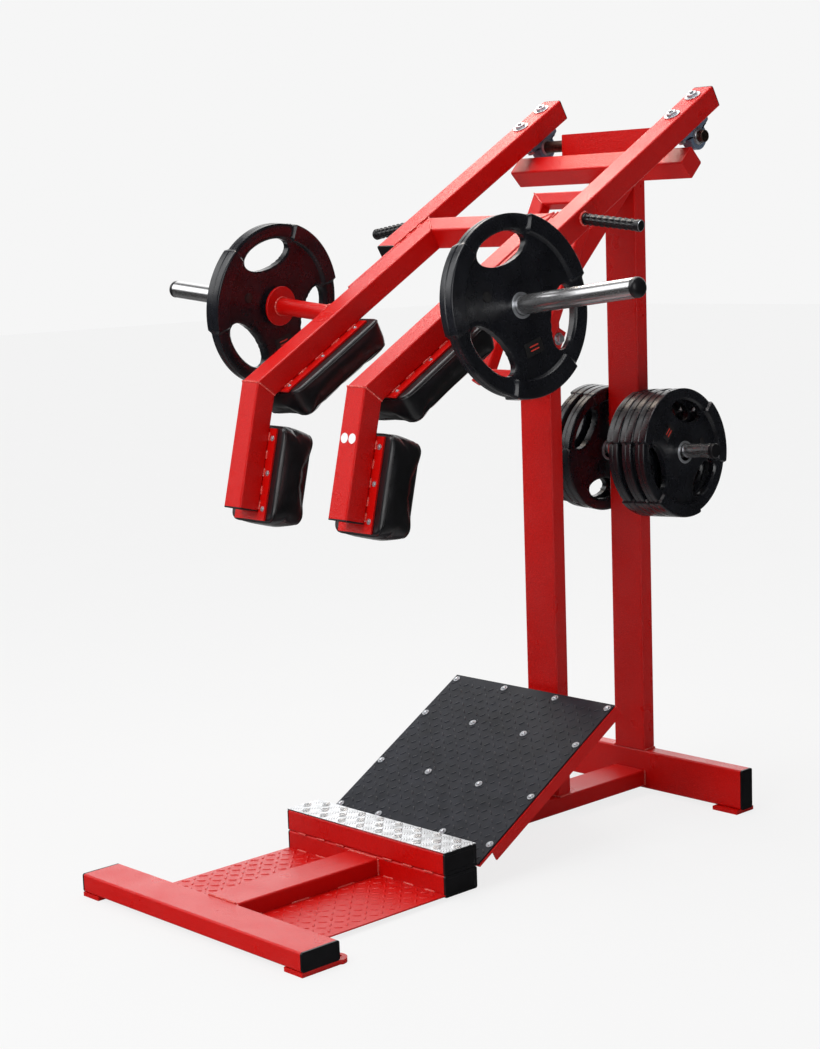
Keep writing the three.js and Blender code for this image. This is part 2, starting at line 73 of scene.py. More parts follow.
# ---------------------------------------------------------------- materials
class Nodes:
    """A material's node tree, built a link at a time."""

    def __init__(self, name):
        self.material = bpy.data.materials.new(name)
        self.material.use_nodes = True
        self.tree = self.material.node_tree
        self.shader = self.tree.nodes["Principled BSDF"]
        self.place = self.add("ShaderNodeTexCoord").outputs["Object"]

    def add(self, kind, **values):
        node = self.tree.nodes.new(kind)
        for key, value in values.items():
            if key in node.inputs:
                node.inputs[key].default_value = value
            else:
                setattr(node, key, value)
        return node

    def link(self, a, b):
        self.tree.links.new(a, b)

    def noise(self, scale, detail=3.0, roughness=0.5, stretch=None):
        node = self.add("ShaderNodeTexNoise", Scale=scale, Detail=detail, Roughness=roughness)
        source = self.place
        if stretch:
            mapping = self.add("ShaderNodeMapping", Scale=stretch)
            self.link(source, mapping.inputs["Vector"])
            source = mapping.outputs["Vector"]
        self.link(source, node.inputs["Vector"])
        return node.outputs["Fac"]

    def cells(self, scale, feature="F1"):
        node = self.add("ShaderNodeTexVoronoi", feature=feature, Scale=scale)
        self.link(self.place, node.inputs["Vector"])
        return node.outputs["Distance"]

    def ramp(self, value, stops):
        node = self.add("ShaderNodeValToRGB")
        elements = node.color_ramp.elements
        while len(elements) < len(stops):
            elements.new(0.5)
        for element, (at, colour) in zip(elements, stops):
            element.position = at
            element.color = (*colour, 1) if isinstance(colour, tuple) else (colour, colour, colour, 1)
        self.link(value, node.inputs["Fac"])
        return node.outputs["Color"]

    def bump(self, value, strength, distance, below=None):
        node = self.add("ShaderNodeBump", Strength=strength, Distance=distance)
        self.link(value, node.inputs["Height"])
        if below:
            self.link(below, node.inputs["Normal"])
        return node.outputs["Normal"]

    def set(self, **values):
        for key, value in values.items():
            self.shader.inputs[key.replace("_", " ")].default_value = value


def powder_coat(name, dark, base, pale, rough=0.31):
    n = Nodes(name)
    speckle = n.noise(300, 2, 0.65)
    colour = n.ramp(speckle, [(0.3, dark), (0.46, base), (0.6, base), (0.7, pale)])
    n.link(colour, n.shader.inputs["Base Color"])
    n.link(n.ramp(n.noise(9, 3), [(0.3, rough - 0.05), (0.7, rough + 0.07)]), n.shader.inputs["Roughness"])
    grain = n.bump(speckle, 1.0, 0.0011)
    n.link(n.bump(n.noise(60, 2), 0.12, 0.001, grain), n.shader.inputs["Normal"])
    n.set(Specular_IOR_Level=0.42)
    return n.material


def moulded(name, dark, base, rough, scale=300.0, bump=0.2, distance=0.0003, specular=0.5):
    n = Nodes(name)
    n.link(n.ramp(n.noise(14, 4), [(0.3, dark), (0.7, base)]), n.shader.inputs["Base Color"])
    n.link(n.ramp(n.noise(30, 4), [(0.3, rough - 0.06), (0.7, rough + 0.08)]), n.shader.inputs["Roughness"])
    n.link(n.bump(n.noise(scale, 3), bump, distance), n.shader.inputs["Normal"])
    n.set(Specular_IOR_Level=specular)
    return n.material


def metal(name, dark, base, rough, stretch=None, scale=60.0, metallic=1.0):
    n = Nodes(name)
    marks = n.noise(scale, 4, 0.6, stretch)
    n.link(n.ramp(marks, [(0.3, dark), (0.7, base)]), n.shader.inputs["Base Color"])
    n.link(n.ramp(marks, [(0.3, rough + 0.1), (0.7, rough - 0.04)]), n.shader.inputs["Roughness"])
    n.link(n.bump(marks, 0.08, 0.0003), n.shader.inputs["Normal"])
    n.set(Metallic=metallic)
    return n.material


def upholstery(name):
    n = Nodes(name)
    n.link(n.ramp(n.noise(18, 4), [(0.3, (0.003, 0.003, 0.004)), (0.7, (0.007, 0.007, 0.009))]),
           n.shader.inputs["Base Color"])
    n.link(n.ramp(n.noise(25, 3), [(0.3, 0.3), (0.7, 0.42)]), n.shader.inputs["Roughness"])
    grain = n.bump(n.cells(900, "DISTANCE_TO_EDGE"), 0.25, 0.0003)
    creases = n.bump(n.noise(28, 5, 0.6), 0.35, 0.003, grain)
    n.link(creases, n.shader.inputs["Normal"])
    n.set(Specular_IOR_Level=0.8)
    return n.material


RED = powder_coat("red_powder_coat", (0.42, 0.0015, 0.001), (0.56, 0.002, 0.001), (0.68, 0.014, 0.009))
# Weld beads: the red paint drawn lighter and flecked with pinkish-white spots; the lighter red and the pale spots
# are painted glints.
WELD_WITH_PAINTED_GLINTS = powder_coat("red_weld_with_painted_glints", (0.5, 0.01, 0.008), (0.66, 0.07, 0.055), (0.95, 0.6, 0.55), 0.24)
PLASTIC = moulded("black_plastic", (0.003, 0.003, 0.004), (0.007, 0.007, 0.009), 0.42)
TREAD = moulded("black_tread", (0.008, 0.0095, 0.014), (0.017, 0.019, 0.027), 0.36,
                scale=420.0, bump=0.35, distance=0.0004, specular=0.3)
PLATE = moulded("plate_rubber", (0.005, 0.0055, 0.008), (0.011, 0.012, 0.016), 0.27,
                scale=700.0, bump=0.25, distance=0.0002, specular=0.6)
PATCH = moulded("plate_patch", (0.011, 0.011, 0.012), (0.018, 0.016, 0.016), 0.5)
ACCENT = moulded("patch_mark", (0.62, 0.03, 0.015), (0.75, 0.05, 0.025), 0.5)
GRIP = moulded("grip_rubber", (0.004, 0.004, 0.005), (0.009, 0.009, 0.011), 0.34, 900.0)
VINYL = upholstery("black_vinyl")
PIPING = moulded("vinyl_piping", (0.004, 0.004, 0.005), (0.009, 0.009, 0.011), 0.32, 900.0)
STEEL = metal("brushed_steel", (0.52, 0.52, 0.53), (0.76, 0.76, 0.77), 0.19,
              stretch=(1, 30, 30), scale=40.0, metallic=0.94)
ZINC = metal("zinc_plating", (0.46, 0.48, 0.51), (0.66, 0.68, 0.72), 0.3, metallic=0.78)
DARK = metal("dark_steel", (0.08, 0.055, 0.045), (0.2, 0.14, 0.11), 0.42, scale=90.0)
ALUMINIUM = metal("tread_aluminium", (0.46, 0.47, 0.48), (0.66, 0.67, 0.69), 0.24, scale=30.0, metallic=0.88)
CAST = powder_coat("pillow_enamel", (0.07, 0.1, 0.15), (0.12, 0.17, 0.25), (0.3, 0.36, 0.44), 0.4)
STICKER = moulded("blank_sticker", (0.8, 0.8, 0.8), (0.88, 0.88, 0.87), 0.5, 400.0, 0.05)

SLOT_LOOK = {"red_paint": RED, "black_plastic": PLASTIC, "rubber": TREAD, "vinyl": VINYL,
             "bright_steel": STEEL, "dark_steel": DARK, "cast_iron": CAST, "aluminium": ALUMINIUM}
for part in frame["record"]["subparts"]:
    node = frame["nodes"][part["node"]]
    node.data.materials.clear()
    node.data.materials.append(SLOT_LOOK[part["material_slot"]])


# ---------------------------------------------------------------- building
MM = 0.001


def at(x, y, z):
    return Matrix.Translation((x * MM, y * MM, z * MM))


def turn(degrees, axis):
    return Matrix.Rotation(math.radians(degrees), 4, axis)


def piece(name, verts, faces, material, body, slot=None, sharp=35.0, place=None):
    """A mesh in millimetres, put in place by a matrix, riding on a body."""
    mesh = bpy.data.meshes.new(name)
    mesh.from_pydata([tuple(c * MM for c in v) for v in verts], [], faces)
    obj = bpy.data.objects.new(name, mesh)
    return settle(obj, material, body, sharp, place)


def settle(obj, material, body, sharp=35.0, place=None):
    """Links an object, moves its mesh by a matrix, shades it and sets its body."""
    if obj.name not in bpy.context.scene.collection.objects:
        bpy.context.scene.collection.objects.link(obj)
    mesh = obj.data
    if place is not None:
        mesh.transform(place)
        if place.determinant() < 0:
            mesh.flip_normals()
    if not mesh.materials:
        mesh.materials.append(material)
    mesh.polygons.foreach_set("use_smooth", [True] * len(mesh.polygons))
    mesh.set_sharp_from_angle(angle=math.radians(sharp))
    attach(obj, body)
    return obj


def ring_faces(rows, count, closed_rows=False):
    faces = []
    for i in range(rows if closed_rows else rows - 1):
        a, b = i * count, ((i + 1) % rows) * count
        faces += [(a + j, a + (j + 1) % count, b + (j + 1) % count, b + j) for j in range(count)]
    return faces


def turned_mesh(profile, segments=64):
    """Verts and faces turned about Z. The profile starts and ends on the axis, or is a closed ring."""
    verts, faces, rows = [], [], []
    closed = profile[0][0] > 1e-6
    for r, z in profile:
        if r < 1e-6:
            rows.append([len(verts)])
            verts.append((0, 0, z))
        else:
            rows.append(list(range(len(verts), len(verts) + segments)))
            verts += [(r * math.cos(a), r * math.sin(a), z)
                      for a in np.linspace(0, 2 * math.pi, segments, endpoint=False)]
    pairs = list(zip(rows, rows[1:] + ([rows[0]] if closed else [])))
    for low, high in pairs if closed else pairs[:len(rows) - 1]:
        for j in range(segments):
            k = (j + 1) % segments
            quad = [low[j % len(low)], low[k % len(low)], high[k % len(high)], high[j % len(high)]]
            quad = [v for i, v in enumerate(quad) if v not in quad[:i]]
            if len(quad) > 2:
                faces.append(tuple(quad))
    return verts, faces


def turned(name, profile, material, body, place, slot=None, segments=64, sharp=30.0):
    return piece(name, *turned_mesh(profile, segments), material, body, slot, sharp, place)


def many(name, parts, material, body, slot=None, sharp=35.0):
    """One piece from several (verts, faces, matrix) parts."""
    verts, faces = [], []
    for part_verts, part_faces, place in parts:
        base = len(verts)
        verts += [tuple(c / MM for c in place @ (Vector(v) * MM)) for v in part_verts]
        flip = place.determinant() < 0
        faces += [tuple(base + i for i in (reversed(f) if flip else f)) for f in part_faces]
    return piece(name, verts, faces, material, body, slot, sharp)


def rounded_outline(width, depth, radius, steps=5):
    points = []
    for i, (sx, sy) in enumerate(((1, -1), (1, 1), (-1, 1), (-1, -1))):
        for k in range(steps + 1):
            a = math.pi / 2 * (i - 1 + k / steps)
            points.append((sx * (width / 2 - radius) + radius * math.cos(a),
                           sy * (depth / 2 - radius) + radius * math.sin(a)))
    return points


def loft(outlines):
    """Closed body from outlines, each (points, z), with flat ends."""
    count = len(outlines[0][0])
    verts = [(x, y, z) for points, z in outlines for x, y in points]
    faces = ring_faces(len(outlines), count)
    faces.append(tuple(reversed(range(count))))
    faces.append(tuple(range((len(outlines) - 1) * count, len(outlines) * count)))
    return verts, faces


def cap_mesh(width, depth, thick, radius=6, dish=1.2):
    """A tube's end cap: a plug below z = 0, an eased rim, and a slightly dished face."""
    layers = [(8, 3, -10), (8, 3, 0), (0, 0, 0.3), (0, 0, thick - 1.2), (2.4, 1, thick), (18, 3, thick),
              (20, 3, thick - dish)]
    return loft([(rounded_outline(width - less, depth - less, radius - tighter), z)
                 for less, tighter, z in layers])


def hexagon(radius, low, high):
    """A hexagon head with an eased top edge."""
    def ring(r):
        return [(r * math.cos(math.pi * k / 3), r * math.sin(math.pi * k / 3)) for k in range(6)]
    return loft([(ring(radius), low), (ring(radius), high - 1), (ring(radius - 1.4), high)])


def washer(radius, bore, thick):
    profile = [(bore, 0), (radius, 0), (radius, thick - 0.4), (radius - 0.5, thick), (bore, thick)]
    return turned_mesh(profile, 32)


def dome(radius, height, low=0.0):
    arc = [(radius * math.cos(a), low + height * math.sin(a)) for a in np.linspace(0.12, math.pi / 2, 6)][:-1]
    return turned_mesh([(0, low), (radius, low), *arc, (0, low + height)], 24)


def bead(path, radius=3.0, step=1.6):
    """A weld bead: overlapping ripples along a polyline of points in millimetres."""
    points = [Vector(p) for p in path]
    verts, rows, run = [], 0, 0.0
    sides, ripple = 7, 5.2
    for a, b in zip(points, points[1:]):
        along = (b - a).normalized()
        one = along.orthogonal().normalized()
        two = along.cross(one)
        count = max(2, int((b - a).length / step))
        for k in range(count + 1):
            centre = a.lerp(b, k / count)
            phase = (run + k * step) / ripple
            swell = 0.42 * abs(math.sin(math.pi * phase)) + 0.08 * math.sin(phase * 2.3 + 1)
            size = radius * (0.9 + swell)
            if (k == 0 and rows == 0) or (k == count and b == points[-1]):
                size *= 0.3
            verts += [tuple(centre + (one * math.cos(t) + two * math.sin(t)) * size)
                      for t in np.linspace(0, 2 * math.pi, sides, endpoint=False)]
            rows += 1
        run += (b - a).length
    faces = ring_faces(rows, sides)
    faces += [tuple(reversed(range(sides))), tuple(range((rows - 1) * sides, rows * sides))]
    return verts, faces


def loop_bead(radius_x, radius_y, radius):
    """A weld bead round a tube."""
    return bead([(radius_x * math.cos(t), radius_y * math.sin(t), 0)
                 for t in np.linspace(0, 2 * math.pi, 41)], radius)


# ---------------------------------------------------------------- frames of the moving groups
# In LEVER, Y runs up along the arms with the pivot shaft at 0, and Z points out of their upper sides.
# FLOOR has Z = 0 on the floor and Y = 0 at the front edge of the machine.
PIVOT = Vector(joints["lever_lift"]["pos_m"])
HAND = Vector(joints["hand_frame_tilt"]["pos_m"])
PIVOT_FROM_FRONT = 1717
LEVER = Matrix.Translation(PIVOT) @ turn(30.3, "X")
HAND_FRAME = Matrix.Translation(HAND) @ turn(-28, "X")
FLOOR = at(0, PIVOT.y / MM - PIVOT_FROM_FRONT, 0)
SIDES = (("left", -1), ("right", 1))

OUTER_X, INNER_X = 293.5, 211        # middles of the outer arms, and of the shoulder and back arms
ARM_Z = 67.5                         # middle of every arm tube above the pivot shaft
ARM_TOP, ARM_UNDER = 100, 35
BEND_Y = -1387                       # where the shoulder arms bend down into the back arms
HORN_ROOT = (246, -1036, 73)
GRIP_ROOT = (328.5, -560, 69)
PEG_ROOT = (60.3, 1752, 1060)


def mirrored(point, side):
    return at(side * point[0], point[1], point[2])


def drop(side):
    return LEVER @ at(side * INNER_X, BEND_Y, ARM_Z) @ turn(45.8, "X")


def horn(side):
    return LEVER @ mirrored(HORN_ROOT, side) @ turn(side * (90 - 7.3), "Y")


def grip(side):
    return LEVER @ mirrored(GRIP_ROOT, side) @ turn(side * (90 + 8.3), "Y")


def peg(side):
    return FLOOR @ mirrored(PEG_ROOT, side) @ turn(side * 87, "Y")


# ---------------------------------------------------------------- weight plates
def smooth(x, low, high):
    t = np.clip((x - low) / (high - low), 0, 1)
    return t * t * (3 - 2 * t)


def plate_mesh(radius, thick, bore, hole_at, long, wide, count=288):
    """A tri-grip plate about Z, from z = 0 to thick, with its first hole towards +X.

    The rim stands proud in three segments outside the holes. Each hole has a raised lip.
    """
    theta = np.linspace(0, 2 * math.pi, count, endpoint=False)
    phi = np.abs((np.degrees(theta) + 60) % 120 - 60)          # degrees from the nearest hole
    span = math.degrees(math.asin(long / (radius * 0.93))) + 7
    raised = smooth(phi, span - 0.8, span + 0.8)
    inner = radius * 0.81
    faces_r = np.concatenate([np.linspace(bore, bore + 8, 3), np.linspace(bore + 12, inner - 12, 16),
                              np.linspace(inner - 9, inner + 9, 9), np.linspace(inner + 14, radius - 9, 6),
                              [radius - 6, radius - 4, radius - 2.4, radius - 1.2, radius - 0.4]])

    def depth(r):
        """How far the face lies below the plate's side plane, round the circle of radius r."""
        web = 12.0 - 4.0 * (1 - smooth(np.full_like(theta, r), bore + 14, bore + 26))
        ring = 7.5 + 4.0 * np.abs((r - (radius + inner) / 2) / ((radius - inner) / 2)) ** 2.5
        segment_in = inner - 4 + 5 * (1 - raised)
        rim = smooth(np.full_like(theta, r), segment_in - 3.5, segment_in + 3.5)
        crown = ring * (1 - raised) + 0.2 * raised
        edge = np.maximum(0, r - (radius - 5)) / 5
        crown = crown + (4.2 - crown * 0.2) * edge ** 2.4
        low = web * (1 - rim) + crown * rim
        x = r * np.cos(np.radians(phi)) - hole_at
        y = r * np.sin(np.radians(phi))
        away = (np.sqrt((x / wide) ** 2 + (y / long) ** 2) - 1) * math.sqrt(wide * long)
        lip = np.clip(1 - away / 8.0, 0, 1)
        return low + 5.0 * lip ** 2.2

    def reach(r):
        """The radius, pulled in a little where the rim is low."""
        return r - 4.5 * (1 - raised) * np.clip((r - inner) / (radius - inner), 0, 1) ** 2

    rows = [(reach(r), depth(r)) for r in faces_r]
    middle = thick / 2
    groove = [(radius, 6.5), (radius, middle - 3), (radius - 2.2, middle - 1), (radius - 2.2, middle + 1),
              (radius, middle + 3), (radius, thick - 6.5)]
    for r, z in groove:
        squeeze = 1 - 0.22 * (1 - raised) * (abs(z - middle) > 10)
        rows.append((reach(r), middle + (z - middle) * squeeze))
    rows += [(reach(r), thick - depth(r)) for r in reversed(faces_r)]
    verts = [(r[j] * math.cos(theta[j]), r[j] * math.sin(theta[j]), z[j])
             for r, z in rows for j in range(count)]
    mesh = bpy.data.meshes.new("plate")
    mesh.from_pydata([tuple(c * MM for c in v) for v in verts], [], ring_faces(len(rows), count, True))
    body = bpy.data.objects.new("plate_body", mesh)
    outline = [(wide * math.cos(t), long * math.sin(t))
               for t in np.linspace(0, 2 * math.pi, 72, endpoint=False)]
    cut_verts, cut_faces = [], []
    for k in range(3):
        v, f = loft([(outline, -5), (outline, thick + 5)])
        spin = turn(120 * k, "Z") @ at(hole_at, 0, 0)
        base = len(cut_verts)
        cut_verts += [tuple(spin @ (Vector(p) * MM)) for p in v]
        cut_faces += [tuple(base + i for i in face) for face in f]
    cut_mesh = bpy.data.meshes.new("holes")
    cut_mesh.from_pydata(cut_verts, [], cut_faces)
    cutter = bpy.data.objects.new("holes", cut_mesh)
    for o in (body, cutter):
        bpy.context.scene.collection.objects.link(o)
    modifier = body.modifiers.new("cut", "BOOLEAN")
    modifier.operation, modifier.solver, modifier.object = "DIFFERENCE", "EXACT", cutter
    made = bpy.data.meshes.new_from_object(body.evaluated_get(bpy.context.evaluated_depsgraph_get()))
    for o in (body, cutter):
        bpy.data.objects.remove(o)
    return made


THICK, BORE = 50, 26


def weight_plate(name, mesh, place, disc_radius, long, wide, out):
    """A plate of the body of its own name, with its hub ring, and a disc and a blank badge on each face."""
    obj = bpy.data.objects.new(f"{name}_rubber", mesh.copy())
    settle(obj, PLATE, name, 40.0, place)
    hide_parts(name)
    hub = [(BORE + 0.3, -0.3), (BORE + 6.5, -0.3), (BORE + 7.5, 0.6), (BORE + 7.5, 8), (BORE + 7.5, THICK - 8),
           (BORE + 7.5, THICK - 0.6), (BORE + 6.5, THICK + 0.3), (BORE + 0.3, THICK + 0.3)]
    hub = [(r, z * (THICK - 10) / THICK + 5) for r, z in hub]
    turned(f"{name}_hub", hub, ZINC, name, place, "bright_steel")
    edge = disc_radius
    disc = turned_mesh([(0, 0), (edge, 0), (edge, 1.1), (edge - 1, 1.5), (0, 1.5)], 40)
    badge = loft([(rounded_outline(long, wide, 3), 0), (rounded_outline(long, wide, 3), 1.0),
                  (rounded_outline(long - 2, wide - 2, 2.4), 1.4)])
    dash_outline = rounded_outline(long * 0.5, 3.4, 1.5)
    dash = loft([(dash_outline, 1.3), (dash_outline, 1.8)])
    parts, marks = [], []
    for flip in (Matrix.Identity(4), turn(180, "X")):
        face = place @ at(0, 0, THICK / 2) @ flip @ at(0, 0, THICK / 2 - 11.7)
        parts.append((*disc, face @ turn(180, "Z") @ at(out, 0, 0)))
        parts.append((*badge, face @ turn(-60, "Z") @ at(out, 0, 0) @ turn(90, "Z")))
        for lift in (-5, 5):
            marks.append((*dash, face @ turn(-60, "Z") @ at(out + lift, 0, 0) @ turn(90, "Z")))
    many(f"{name}_patches", parts, PATCH, name, "rubber")
    many(f"{name}_marks", marks, ACCENT, name, "rubber")


big = plate_mesh(236, THICK, BORE, 150, 86, 40)
small = plate_mesh(194, THICK, BORE, 123, 69, 33)
for word, side in SIDES:
    seat = horn(side) @ at(side * 0.6, 0, 208.6) @ turn(46 if side > 0 else 134, "Z")
    weight_plate(f"horn_plate_{word}", big, seat, 14, 62, 36, 112)
    for i, height in enumerate([12, 62.5] if side < 0 else [12, 62.5, 113]):
        place = peg(side) @ at(side * 4.2, 0, height) @ turn(166 + 120 if side > 0 else -55, "Z")
        weight_plate(f"storage_plate_{word}_{i + 1}", small, place, 11, 50, 28, 92)

# ---------------------------------------------------------------- horns, pegs, grips
HORN_PROFILE = [(20, 3.5), (24, 3.5), (24, 198.5), (26.5, 200), (54.5, 200), (56, 201.5), (56, 206.5),
                (54.5, 208), (20, 208)]
SLEEVE_PROFILE = [(20, 208.3), (25, 208.3), (25, 648), (20, 648)]
HORN_CAP_PROFILE = [(0, 640), (19.5, 640), (19.5, 648.2), (25.2, 648.4)]
HORN_CAP_PROFILE += [(4.2 + 21 * math.cos(a), 656 + 12.5 * math.sin(a))
                     for a in np.linspace(0, math.pi / 2, 8)]
HORN_CAP_PROFILE += [(0, 668.5)]
GRIP_END_PROFILE = [(0, 180), (16, 180), (16.4, 181), (16.4, 186.5), (15.2, 188.2), (0, 188.4)]
GRIP_RIM_PROFILE = [(13.6, 188), (15.3, 188), (15.1, 189.2), (13.8, 189.2)]
PEG_PROFILE = [(0, 1.5), (21, 1.5), (21, 257.5), (0, 257.5)]
PEG_CAP_PROFILE = [(0, 258), (21.3, 258), (21.6, 259), (21.6, 269), (20, 271.5), (0, 272)]


def grip_mesh(count=72):
    """A rubber sleeve, knurled in crossing spirals between two plain ends."""
    verts, rows = [], 0
    for z in np.arange(4, 180.1, 1.1):
        for a in np.linspace(0, 2 * math.pi, count, endpoint=False):
            wave = math.sin(4 * a + z * 0.157) * math.sin(4 * a - z * 0.157)
            r = 14.2 + 1.8 * min(1, max(-0.6, wave * 1.6)) if 9 < z < 174 else 16.0
            verts.append((r * math.cos(a), r * math.sin(a), z))
        rows += 1
    ends = [tuple(reversed(range(count))), tuple(range((rows - 1) * count, rows * count))]
    return verts, ring_faces(rows, count) + ends


for word, side in SIDES:
    place = horn(side)
    tube = turned(f"horn_tube_{word}", HORN_PROFILE, RED, "lever", place, "red_paint", 72)
    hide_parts(f"horn_{word}")
    sleeve = turned(f"horn_sleeve_steel_{word}", SLEEVE_PROFILE, STEEL, "lever", place, "bright_steel", 96)
    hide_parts(f"horn_sleeve_{word}")
    turned(f"horn_cap_{word}", HORN_CAP_PROFILE, GRIP, "lever", place, "rubber", 72, 50)
    root = LEVER @ mirrored(HORN_ROOT, side) @ turn(side * 90, "Y") @ at(0, 0, 1.5)
    weld = [(*loop_bead(25.5, 25, 3.2), root), (*loop_bead(25.5, 25.5, 2.4), place @ at(0, 0, 198.5))]
    many(f"horn_weld_{word}", weld, WELD_WITH_PAINTED_GLINTS, "lever", "red_paint")

    place = grip(side)
    rubber = piece(f"grip_rubber_{word}", *grip_mesh(), GRIP, "lever", "rubber", 60, place)
    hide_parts(f"grip_{word}")
    turned(f"grip_end_{word}", GRIP_END_PROFILE, PLASTIC, "lever", place, "rubber")
    turned(f"grip_rim_{word}", GRIP_RIM_PROFILE, ZINC, "lever", place, "bright_steel")
    root = LEVER @ mirrored(GRIP_ROOT, side) @ turn(side * 90, "Y") @ at(0, 0, 1.5)
    many(f"grip_weld_{word}", [(*loop_bead(17, 17, 3), root)], WELD_WITH_PAINTED_GLINTS, "lever", "red_paint")

    place = peg(side)
    rod = turned(f"storage_peg_steel_{word}", PEG_PROFILE, STEEL, "frame", place, "bright_steel", 72)
    turned(f"storage_peg_cap_{word}", PEG_CAP_PROFILE, PLASTIC, "frame", place, "black_plastic", 72)
    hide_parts(f"storage_peg_{word}")
    root = FLOOR @ mirrored(PEG_ROOT, side) @ turn(side * 90, "Y") @ at(0, 0, 1.5)
    many(f"storage_peg_weld_{word}", [(*loop_bead(22.5, 22.5, 2.8), root)], WELD_WITH_PAINTED_GLINTS, "frame", "red_paint")

# ---------------------------------------------------------------- pivot: shaft, pillow blocks, arm bolts
SHAFT_PROFILE = [(0, -334), (16.5, -334), (17.5, -332.5), (17.5, 332.5), (16.5, 334), (0, 334)]
shaft = turned("pivot_shaft_steel", SHAFT_PROFILE, DARK, "frame", Matrix.Translation(PIVOT) @ turn(90, "Y"),
               "dark_steel", 72)
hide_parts("pivot_shaft")


def pillow_outline():
    """Side view of a pillow block: a foot along the arm's underside and a ring round the shaft."""
    top, half, ring = 34.7, 65, 38
    points = [(-half, top), (-half, top - 12), (-half + 3, top - 15), (-ring * 1.02, top - 16)]
    points += [(ring * math.cos(a), ring * math.sin(a))
               for a in np.linspace(math.pi * 0.92, math.pi * 2.08, 34)]
    points += [(ring * 1.02, top - 16), (half - 3, top - 15), (half, top - 12), (half, top)]
    return points


def with_bore(outline, bore, low, high, soft=2.0):
    """Prism of an outline round a bore, its outer edges softened."""
    ring = [(bore * x / math.hypot(x, y), bore * y / math.hypot(x, y)) for x, y in outline]
    shrunk = [(x * (1 - soft / math.hypot(x, y)), y * (1 - soft / math.hypot(x, y))) for x, y in outline]
    rows = [(ring, low), (shrunk, low), (outline, low + soft), (outline, high - soft), (shrunk, high),
            (ring, high)]
    verts = [(x, y, z) for points, z in rows for x, y in points]
    return verts, ring_faces(len(rows), len(outline), True)


BOLT_TIP = [(0, 11), (6, 11), (6, 15), (5, 16), (0, 16)]
# turns a prism so that its X lies along the arm, its Y across it and its Z along the shaft
ALONG_SHAFT = Matrix(((0, 0, 1, 0), (1, 0, 0, 0), (0, 1, 0, 0), (0, 0, 0, 1)))
for word, side in SIDES:
    block = LEVER @ at(side * OUTER_X, 0, 0) @ ALONG_SHAFT
    shell = with_bore(pillow_outline(), 25, -17, 17)
    housing = many(f"pillow_housing_{word}", [(*shell, block)], CAST, "lever", "cast_iron", 40)
    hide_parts(f"pillow_block_{word}")
    race = turned_mesh([(18.4, -20), (24.8, -17.5), (24.8, 17.5), (18.4, 20)], 64)
    collar = turned_mesh([(17.9, 12), (22, 12), (22, 22.5), (21, 23.5), (17.9, 23.5)], 64)
    outward = block if side > 0 else block @ turn(180, "X")
    many(f"pillow_bearing_{word}", [(*race, block), (*collar, outward)], ZINC, "lever", "bright_steel", 30)
    bolts = []
    for y in (-54, 54):
        over = LEVER @ at(side * OUTER_X, y, ARM_TOP)
        bolts += [(*washer(24, 7, 3), over @ at(0, 0, 0.1)), (*hexagon(16, 3.1, 11), over),
                  (*turned_mesh(BOLT_TIP, 24), over)]
        under = LEVER @ at(side * OUTER_X, y, 34.7 - 16) @ turn(180, "X")
        bolts += [(*washer(14, 7, 2.4), under), (*hexagon(11, 2.4, 10), under)]
    nipple = block @ turn(215, "Z") @ at(38, 0, 0) @ turn(90, "Y")
    bolts.append((*dome(3, 5), nipple))
    many(f"pillow_bolts_{word}", bolts, ZINC, "lever", "bright_steel", 30)

# ---------------------------------------------------------------- end caps
caps = {"frame": [], "lever": []}
for word, side in SIDES:
    outer = LEVER @ at(side * OUTER_X, 0, ARM_Z)
    caps["lever"] += [(*cap_mesh(70, 65, 4), outer @ at(0, 106, 0) @ turn(-90, "X")),
                      (*cap_mesh(70, 65, 4), outer @ at(0, -722, 0) @ turn(90, "X")),
                      (*cap_mesh(70, 65, 4), drop(side) @ at(0, -323, 0) @ turn(90, "X"))]
    for z in (37, 97.3):
        step_end = FLOOR @ at(side * 313, 668, z) @ turn(side * 90, "Y") @ turn(90, "Z")
        caps["frame"].append((*cap_mesh(120, 60, 6), step_end))
for body, parts in caps.items():
    many(f"{body}_end_caps", parts, PLASTIC, body, "black_plastic")
head_lo, head_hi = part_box("head_crossbar")
head_mid = (head_lo + head_hi) / 2
ends = []
for word, side in SIDES:
    ends.append((*cap_mesh(65, 65, 3, dish=0), Matrix.Translation((side * 0.33, head_mid.y, head_mid.z))
                 @ turn(side * 90, "Y") @ turn(45, "Z")))
    plate = with_bore(rounded_outline(65, 65, 3), 18.3, 0, 4, 1)
    ends.append((*plate, Matrix.Translation(PIVOT) @ at(side * 183.2, 0, 0) @ turn(side * 90, "Y")))
many("head_end_plates", ends, RED, "frame", "red_paint")


# ---------------------------------------------------------------- tread patterns
def lens(length, width, height):
    """One raised drop of a tread pattern."""
    ring = [(length / 2 * math.cos(t), width / 2 * math.sin(t))
            for t in np.linspace(0, 2 * math.pi, 12, endpoint=False)]
    return loft([(ring, -0.2), ([(x * 0.9, y * 0.8) for x, y in ring], height * 0.7),
                 ([(x * 0.7, y * 0.4) for x, y in ring], height)])


def teardrops(x0, x1, y0, y1, pitch, size, place, skip=None):
    """Drops over a rectangle, turned by 45 degrees to one side and the other in turn."""
    parts, shape, row = [], lens(*size), 0
    y = y0 + pitch / 2
    while y < y1 - pitch * 0.3:
        x, column = x0 + pitch / 2, 0
        while x < x1 - pitch * 0.3:
            if not (skip and skip(x, y)):
                parts.append((*shape, place @ at(x, y, 0) @ turn(45 if (row + column) % 2 else -45, "Z")))
            x += pitch
            column += 1
        y += pitch
        row += 1
    return parts


